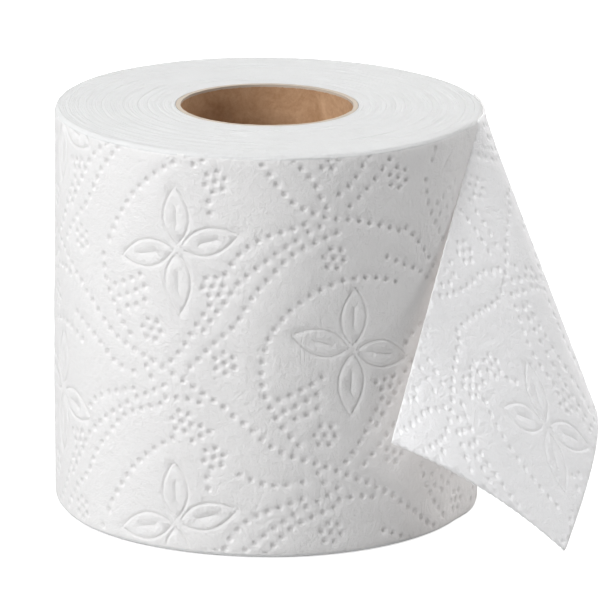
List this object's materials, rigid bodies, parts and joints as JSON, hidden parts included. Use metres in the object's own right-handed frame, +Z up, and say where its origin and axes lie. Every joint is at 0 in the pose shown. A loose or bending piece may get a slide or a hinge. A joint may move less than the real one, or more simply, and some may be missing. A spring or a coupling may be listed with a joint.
{
  "type": "toilet paper roll",
  "caption": "Toilet paper roll standing on its end: an embossed white web wound on a brown board core, its loose end flared out at one side.",
  "frame": {"origin": "where the axis of the core meets the surface that the roll stands on", "axes": "+Z up along the core; -Y is the front, and the loose end hangs off the +X side"},
  "size_m": [0.134, 0.1108, 0.1],
  "materials": {
    "core_board": "matt brown kraft board, lighter at its sawn rims",
    "tissue_paper": "soft matt white tissue, embossed with dotted scrolls and four-petal flowers"
  },
  "bodies": {
    "root": {"core_tube": "core_board", "tissue_web": "tissue_paper"}
  },
  "joints": []
}
